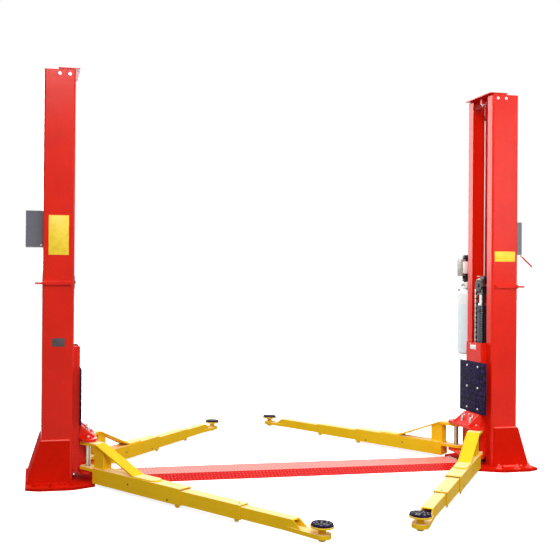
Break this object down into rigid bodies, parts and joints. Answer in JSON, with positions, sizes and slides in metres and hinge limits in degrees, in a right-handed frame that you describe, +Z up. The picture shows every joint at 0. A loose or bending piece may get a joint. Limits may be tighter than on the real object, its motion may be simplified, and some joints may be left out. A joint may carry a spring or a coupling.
{
  "type": "two post car lift",
  "caption": "Surface-mounted lift with two channel columns on floor plates, hydraulic chain drive and four telescopic swing arms with screw pads.",
  "frame": {"origin": "on the floor, at the middle of the lift's bounding box, 50 mm to the right of and 39 mm behind the point midway between the two columns", "axes": "+X from the left post to the right post, +Y away from the viewer toward the power unit's face, +Z up"},
  "size_m": [3.9008, 3.5943, 2.854],
  "materials": {
    "column_left": "red powder coat",
    "base_plate_left": "red powder coat",
    "column_boot_left": "red powder coat",
    "top_cap_left": "red powder coat",
    "lock_cover_left": "grey paint",
    "lift_cylinder_left": "black paint",
    "equalizer_cable_left": "bright steel",
    "column_right": "red powder coat",
    "base_plate_right": "red powder coat",
    "column_boot_right": "red powder coat",
    "top_cap_right": "red powder coat",
    "lock_cover_right": "grey paint",
    "lift_cylinder_right": "black paint",
    "equalizer_cable_right": "bright steel",
    "floor_cover": "red powder coat",
    "pump_bracket": "grey paint",
    "oil_tank": "milky plastic",
    "pump_motor": "black paint",
    "carriage_left": "red powder coat",
    "door_guard_left": "black moulded rubber",
    "arm_pin_front_left": "plated steel pin",
    "arm_pin_rear_left": "plated steel pin",
    "rod_yoke_left": "bright steel",
    "chain_sheave_left": "bright steel",
    "leaf_chain_left": "bright steel",
    "carriage_right": "red powder coat",
    "door_guard_right": "black moulded rubber",
    "arm_pin_front_right": "plated steel pin",
    "arm_pin_rear_right": "plated steel pin",
    "rod_yoke_right": "bright steel",
    "chain_sheave_right": "bright steel",
    "leaf_chain_right": "bright steel",
    "arm_outer_front_left": "yellow powder coat",
    "arm_middle_front_left": "yellow powder coat",
    "arm_inner_front_left": "yellow powder coat",
    "lift_pad_front_left": "yellow powder coat",
    "pad_rubber_front_left": "black moulded rubber",
    "arm_outer_front_right": "yellow powder coat",
    "arm_middle_front_right": "yellow powder coat",
    "arm_inner_front_right": "yellow powder coat",
    "lift_pad_front_right": "yellow powder coat",
    "pad_rubber_front_right": "black moulded rubber",
    "arm_outer_rear_left": "yellow powder coat",
    "arm_middle_rear_left": "yellow powder coat",
    "arm_inner_rear_left": "yellow powder coat",
    "lift_pad_rear_left": "yellow powder coat",
    "pad_rubber_rear_left": "black moulded rubber",
    "arm_outer_rear_right": "yellow powder coat",
    "arm_middle_rear_right": "yellow powder coat",
    "arm_inner_rear_right": "yellow powder coat",
    "lift_pad_rear_right": "yellow powder coat",
    "pad_rubber_rear_right": "black moulded rubber",
    "release_handle": "steel rod with red grip"
  },
  "bodies": {
    "frame": {"column_left": "column_left", "base_plate_left": "base_plate_left", "column_boot_left": "column_boot_left", "top_cap_left": "top_cap_left", "lock_cover_left": "lock_cover_left", "lift_cylinder_left": "lift_cylinder_left", "equalizer_cable_left": "equalizer_cable_left", "column_right": "column_right", "base_plate_right": "base_plate_right", "column_boot_right": "column_boot_right", "top_cap_right": "top_cap_right", "lock_cover_right": "lock_cover_right", "lift_cylinder_right": "lift_cylinder_right", "equalizer_cable_right": "equalizer_cable_right", "floor_cover": "floor_cover", "pump_bracket": "pump_bracket", "oil_tank": "oil_tank", "pump_motor": "pump_motor"},
    "carriage_left": {"carriage_left": "carriage_left", "door_guard_left": "door_guard_left", "arm_pin_front_left": "arm_pin_front_left", "arm_pin_rear_left": "arm_pin_rear_left"},
    "ram_left": {"rod_yoke_left": "rod_yoke_left", "chain_sheave_left": "chain_sheave_left", "leaf_chain_left": "leaf_chain_left"},
    "carriage_right": {"carriage_right": "carriage_right", "door_guard_right": "door_guard_right", "arm_pin_front_right": "arm_pin_front_right", "arm_pin_rear_right": "arm_pin_rear_right"},
    "ram_right": {"rod_yoke_right": "rod_yoke_right", "chain_sheave_right": "chain_sheave_right", "leaf_chain_right": "leaf_chain_right"},
    "arm_front_left": {"arm_outer_front_left": "arm_outer_front_left"},
    "middle_front_left": {"arm_middle_front_left": "arm_middle_front_left"},
    "inner_front_left": {"arm_inner_front_left": "arm_inner_front_left"},
    "pad_front_left": {"lift_pad_front_left": "lift_pad_front_left", "pad_rubber_front_left": "pad_rubber_front_left"},
    "arm_front_right": {"arm_outer_front_right": "arm_outer_front_right"},
    "middle_front_right": {"arm_middle_front_right": "arm_middle_front_right"},
    "inner_front_right": {"arm_inner_front_right": "arm_inner_front_right"},
    "pad_front_right": {"lift_pad_front_right": "lift_pad_front_right", "pad_rubber_front_right": "pad_rubber_front_right"},
    "arm_rear_left": {"arm_outer_rear_left": "arm_outer_rear_left"},
    "middle_rear_left": {"arm_middle_rear_left": "arm_middle_rear_left"},
    "inner_rear_left": {"arm_inner_rear_left": "arm_inner_rear_left"},
    "pad_rear_left": {"lift_pad_rear_left": "lift_pad_rear_left", "pad_rubber_rear_left": "pad_rubber_rear_left"},
    "arm_rear_right": {"arm_outer_rear_right": "arm_outer_rear_right"},
    "middle_rear_right": {"arm_middle_rear_right": "arm_middle_rear_right"},
    "inner_rear_right": {"arm_inner_rear_right": "arm_inner_rear_right"},
    "pad_rear_right": {"lift_pad_rear_right": "lift_pad_rear_right", "pad_rubber_rear_right": "pad_rubber_rear_right"},
    "handle": {"release_handle": "release_handle"}
  },
  "joints": [
    {"name": "lift_right", "type": "slide", "parent": "frame", "child": "carriage_right", "axis": [0, 0, 1], "range_m": [0, 1.75]},
    {"name": "lift_left", "type": "slide", "parent": "frame", "child": "carriage_left", "axis": [0, 0, 1], "range_m": [0, 1.75]},
    {"name": "ram_right", "type": "slide", "parent": "frame", "child": "ram_right", "axis": [0, 0, 1], "range_m": [0, 0.875]},
    {"name": "ram_left", "type": "slide", "parent": "frame", "child": "ram_left", "axis": [0, 0, 1], "range_m": [0, 0.875]},
    {"name": "swing_front_left", "type": "hinge", "parent": "carriage_left", "child": "arm_front_left", "pos_m": [-1.514, -0.1886, 0.19], "axis": [0, 0, -1], "range_deg": [-23.6, 51.4]},
    {"name": "middle_pull_front_left", "type": "slide", "parent": "arm_front_left", "child": "middle_front_left", "axis": [0.5934, -0.8049, 0], "range_m": [-0.413, 0.117]},
    {"name": "inner_pull_front_left", "type": "slide", "parent": "middle_front_left", "child": "inner_front_left", "axis": [0.5934, -0.8049, 0], "range_m": [-0.334, 0.08]},
    {"name": "pad_screw_front_left", "type": "slide", "parent": "inner_front_left", "child": "pad_front_left", "axis": [0, 0, 1], "range_m": [0, 0.035]},
    {"name": "swing_front_right", "type": "hinge", "parent": "carriage_right", "child": "arm_front_right", "pos_m": [1.414, -0.1886, 0.19], "axis": [0, 0, 1], "range_deg": [-20.9, 54.1]},
    {"name": "middle_pull_front_right", "type": "slide", "parent": "arm_front_right", "child": "middle_front_right", "axis": [-0.6307, -0.776, 0], "range_m": [-0.362, 0.168]},
    {"name": "inner_pull_front_right", "type": "slide", "parent": "middle_front_right", "child": "inner_front_right", "axis": [-0.6307, -0.776, 0], "range_m": [-0.343, 0.08]},
    {"name": "pad_screw_front_right", "type": "slide", "parent": "inner_front_right", "child": "pad_front_right", "axis": [0, 0, 1], "range_m": [0, 0.035]},
    {"name": "swing_rear_left", "type": "hinge", "parent": "carriage_left", "child": "arm_rear_left", "pos_m": [-1.514, 0.1114, 0.19], "axis": [0, 0, 1], "range_deg": [-18.8, 56.2]},
    {"name": "middle_pull_rear_left", "type": "slide", "parent": "arm_rear_left", "child": "middle_rear_left", "axis": [0.6587, 0.7524, 0], "range_m": [-0.42, 0.11]},
    {"name": "inner_pull_rear_left", "type": "slide", "parent": "middle_rear_left", "child": "inner_rear_left", "axis": [0.6587, 0.7524, 0], "range_m": [-0.319, 0.08]},
    {"name": "pad_screw_rear_left", "type": "slide", "parent": "inner_rear_left", "child": "pad_rear_left", "axis": [0, 0, 1], "range_m": [0, 0.035]},
    {"name": "swing_rear_right", "type": "hinge", "parent": "carriage_right", "child": "arm_rear_right", "pos_m": [1.414, 0.1114, 0.19], "axis": [0, 0, -1], "range_deg": [-26.7, 48.3]},
    {"name": "middle_pull_rear_right", "type": "slide", "parent": "arm_rear_right", "child": "middle_rear_right", "axis": [-0.549, 0.8358, 0], "range_m": [-0.363, 0.167]},
    {"name": "inner_pull_rear_right", "type": "slide", "parent": "middle_rear_right", "child": "inner_rear_right", "axis": [-0.549, 0.8358, 0], "range_m": [-0.405, 0.08]},
    {"name": "pad_screw_rear_right", "type": "slide", "parent": "inner_rear_right", "child": "pad_rear_right", "axis": [0, 0, 1], "range_m": [0, 0.035]},
    {"name": "release_pull", "type": "hinge", "parent": "frame", "child": "handle", "pos_m": [1.845, -0.0786, 1.6233], "axis": [0, 1, 0], "range_deg": [0, 25]}
  ],
  "couplings": [
    {"joint": "lift_left", "follows": "lift_right", "ratio": 1},
    {"joint": "ram_right", "follows": "lift_right", "ratio": 0.5},
    {"joint": "ram_left", "follows": "lift_right", "ratio": 0.5}
  ]
}
